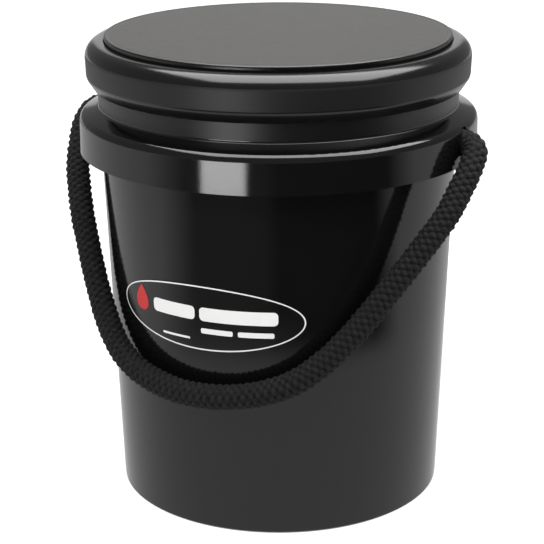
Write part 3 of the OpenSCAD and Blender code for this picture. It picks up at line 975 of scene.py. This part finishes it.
class WASHBUCKET_OT_pad(bpy.types.Operator):
    """Seat pad: a firm, slightly crowned disc with a rolled edge and a pressed line"""

    bl_idname = "washbucket.pad"
    bl_label = "Seat Pad"

    def execute(self, context):
        pad = context.scene.wash_bucket.pad
        radius, roll, crown = PAD_RADIUS / MM, pad.edge_roll / MM, pad.crown / MM
        low, high = PAD_LOW.z / MM, PAD_HIGH.z / MM - 0.25
        seam, inside = radius - roll - 2.4, radius - roll - 3.6
        share = np.linspace(0, 1, 40)[1:]
        dome_radius = inside * (1 - share)
        dome = np.stack([dome_radius, high - 0.1 + crown * (1 - (dome_radius / inside) ** 2)], -1)
        profile = np.vstack([
            [(0, low), (radius * 0.5, low), (radius - 0.8, low)],
            arc((radius - 0.8, low + 0.8), 0.8, -60, 0, 3),
            [(radius - 0.1, (low + high) / 2 - 0.6), (radius, (low + high) / 2 + 0.8)],
            arc((radius - roll, high - roll), roll, 0, 90, 8),
            [(seam + out, high - deep) for out, deep in ((0.7, 0.03), (0.3, 0.2), (0, 0.34), (-0.3, 0.22))],
            [(inside, high - 0.1)],
            dome,
        ])
        piece = turned("seat_pad", profile, 320)
        skin = rubber_material(
            "Pad skin", list(pad.colour), rough=0.4, grain=1500.0, depth=0.0001, patch=0.1,
            # Near-black colour of the pad's upright edge: painted shade. 0.16 is the edge's roughness.
            side=((0.003, 0.003, 0.003), 0.16),
        )
        dress(piece, skin, "lid", ["seat_core", "seat_cover"])
        return {"FINISHED"}


class WASHBUCKET_OT_stage(bpy.types.Operator):
    """Pale floor, soft studio lights and the panels that the gloss mirrors"""

    bl_idname = "washbucket.stage"
    bl_label = "Stage"

    # Brightness of the room beyond the table, by the turn in degrees from the camera
    ROOM_TURN = (-180, -150, -110, -76, -62, -52, -8, 0, 60, 78, 130, 160, 180)
    ROOM_GLOW = (0.5, 0.6, 0.75, 0.75, 0.4, 0.12, 0.1, 0.01, 0.0, 0.7, 0.75, 0.5, 0.5)
    TABLE_GLOW = 0.75

    # Panels as (name, turn in degrees, distance, size, height, tilt in degrees, strength, aside)
    PANELS = (
        ("Side softbox", -24.5, 0.75, (0.31, 0.12), 0.19, 0, 9.2, -0.045),
        ("Top softbox", 0, 0.1, (2.8, 2.0), 1.86, 90, 6.8, 0.35),
        ("Back wall", 180, 1.6, (1.1, 1.6), 0.8, 0, 0.83, 0),
    )

    # Lights as (name, turn in degrees, distance, height, size, power in watts)
    LIGHTS = (
        ("Key", -35, 1.7, 1.9, 1.2, 26),
        ("Fill", 60, 1.8, 1.5, 1.4, 16),
        ("Back", 175, 1.6, 1.8, 1.4, 14),
    )

    def execute(self, context):
        stage = context.scene.wash_bucket.stage
        context.scene.view_settings.view_transform = "Standard"
        self.world(context)
        floor = self.floor()
        room = self.room(stage)
        panels = [self.panel(stage, *row) for row in self.PANELS]
        for row in self.LIGHTS:
            self.light(stage, *row)
        return {"FINISHED"}

    def world(self, context):
        """White room for the camera and a dim one for everything else."""
        world = bpy.data.worlds.new("Studio")
        context.scene.world = world
        world.use_nodes = True
        tree = world.node_tree
        tree.nodes.clear()
        seen = add(tree, "ShaderNodeBackground", {"Color": (1, 1, 1, 1), "Strength": 1.0})
        lit = add(tree, "ShaderNodeBackground", {"Color": (1, 1, 1, 1), "Strength": 0.22})
        camera_ray = add(tree, "ShaderNodeLightPath").outputs["Is Camera Ray"]
        mixed = add(tree, "ShaderNodeMixShader", {0: camera_ray, 1: lit.outputs[0], 2: seen.outputs[0]})
        add(tree, "ShaderNodeOutputWorld", {"Surface": mixed.outputs[0]})

    def floor(self):
        """Plain pale floor, flat and 12 metres wide."""
        t = np.linspace(-6, 6, 25)
        x, y = np.meshgrid(t, t, indexing="xy")
        floor = grid_object("Floor", np.stack([x, y, 0 * x - 0.0002], -1), wrap_columns=False)
        material, tree, shader = new_material("Pale floor", Roughness=0.9, Emission_Strength=0.85)
        shader.inputs["Specular IOR Level"].default_value = 0.0
        shader.inputs["Emission Color"].default_value = (1, 1, 1, 1)
        soft = noise(tree, object_place(tree), 3.0, 2.0)
        feed(tree, shader, {"Base Color": mix_colour(tree, soft, (0.6, 0.6, 0.6), (0.63, 0.63, 0.625))})
        floor.data.materials.append(material)
        return floor

    def glow_material(self, name, strength):
        """Light panel whose brightness is its strength times the glow attribute."""
        material = bpy.data.materials.new(name)
        material.use_nodes = True
        tree = material.node_tree
        tree.nodes.clear()
        glow = add(tree, "ShaderNodeAttribute", attribute_name="glow").outputs["Fac"]
        brightness = math_node(tree, "MULTIPLY", glow, strength)
        light = add(tree, "ShaderNodeEmission", {"Color": (1, 1, 1, 1), "Strength": brightness})
        add(tree, "ShaderNodeOutputMaterial", {"Surface": light.outputs[0]})
        return material

    def only_mirrored(self, piece):
        """Leaves a piece visible in reflections alone."""
        for ray in ("camera", "diffuse", "shadow", "transmission", "volume_scatter"):
            setattr(piece, f"visible_{ray}", False)

    def room(self, stage):
        """Ring on the floor beyond the table, (r cos a, r sin a), that the gloss mirrors as the dark and light
        room. Its glow goes over from the table's to the room's just outside the table."""
        turn = np.linspace(-180, 180, 181)[:-1]
        inner = stage.table_radius
        reach = np.array([0.133, 0.25, inner, inner + 0.02, inner + 0.06, 0.8, 1.5, 3.0, 5.5])
        away = stage.view_turn - math.pi / 2 + np.radians(turn)
        x, y = reach[:, None] * np.cos(away), reach[:, None] * np.sin(away)
        glow = np.interp(turn, self.ROOM_TURN, self.ROOM_GLOW)
        fade = np.array([0, 0, 0, 0.35, 1, 1, 1, 1, 1])[:, None]
        glow = glow[None, :] * fade + self.TABLE_GLOW * (1 - fade)
        ring = grid_object("Room", np.stack([x, y, 0 * x + 0.001], -1), attributes={"glow": glow})
        ring.data.materials.append(self.glow_material("Room glow", 1.0))
        self.only_mirrored(ring)
        return ring

    def panel(self, stage, name, turn, distance, size, height, tilt, strength, aside):
        """Flat panel of light facing the pail, its corners dimmed a little."""
        u, v = np.meshgrid(np.linspace(-0.5, 0.5, 9), np.linspace(-0.5, 0.5, 9), indexing="ij")
        flat = np.stack([size[0] * u, 0 * u, size[1] * v], -1)
        lean, around = math.radians(tilt), stage.view_turn + math.radians(turn)
        place = (
            Matrix.Rotation(around, 4, "Z")
            @ Matrix.Translation((aside, -distance, height))
            @ Matrix.Rotation(lean, 4, "X")
        )
        edge = np.clip(1.15 - 1.2 * np.maximum(abs(u), abs(v)) ** 3 * 2, 0, 1)
        card = grid_object(name, flat, wrap_columns=False, attributes={"glow": edge})
        card.data.transform(place)
        card.data.materials.append(self.glow_material(name, strength))
        self.only_mirrored(card)
        return card

    def light(self, stage, name, turn, distance, height, size, power):
        """Large soft area light aimed at the pail's middle, itself not mirrored."""
        data = bpy.data.lights.new(name, "AREA")
        data.shape = "DISK"
        data.size = size
        data.energy = power
        lamp = bpy.data.objects.new(name, data)
        bpy.context.scene.collection.objects.link(lamp)
        around = stage.view_turn + math.radians(turn)
        lamp.location = (distance * math.sin(around), -distance * math.cos(around), height)
        aim = Vector((0, 0, 0.2)) - lamp.location
        lamp.rotation_euler = aim.to_track_quat("-Z", "Y").to_euler()
        lamp.visible_glossy = False
        lamp.visible_camera = False


class WASHBUCKET_PT_panel(bpy.types.Panel):
    """Lists the pieces of the wash bucket and their settings"""

    bl_idname = "WASHBUCKET_PT_panel"
    bl_label = "Wash Bucket"
    bl_space_type = "VIEW_3D"
    bl_region_type = "UI"
    bl_category = "Wash Bucket"

    def draw(self, context):
        settings = context.scene.wash_bucket
        for operator, group in PIECES:
            box = self.layout.box()
            box.operator(operator.bl_idname)
            chosen = getattr(settings, group)
            for title in chosen.__annotations__:
                box.prop(chosen, title)


PIECES = (
    (WASHBUCKET_OT_camera, "stage"),
    (WASHBUCKET_OT_rope, "rope"),
    (WASHBUCKET_OT_pail, "pail"),
    (WASHBUCKET_OT_label, "label"),
    (WASHBUCKET_OT_lid, "lid"),
    (WASHBUCKET_OT_pad, "pad"),
    (WASHBUCKET_OT_stage, "stage"),
)
CLASSES = (
    RopeSettings, PailSettings, LidSettings, PadSettings, LabelSettings, StageSettings, WashBucketSettings,
    *(operator for operator, _ in PIECES), WASHBUCKET_PT_panel,
)


def register():
    for item in CLASSES:
        bpy.utils.register_class(item)
    bpy.types.Scene.wash_bucket = PointerProperty(type=WashBucketSettings)


def unregister():
    del bpy.types.Scene.wash_bucket
    for item in reversed(CLASSES):
        bpy.utils.unregister_class(item)


def main():
    register()
    bpy.ops.washbucket.camera()
    bpy.ops.washbucket.rope()
    bpy.ops.washbucket.pail()
    bpy.ops.washbucket.label()
    bpy.ops.washbucket.lid()
    bpy.ops.washbucket.pad()
    bpy.ops.washbucket.stage()


if __name__ == "__main__":
    main()
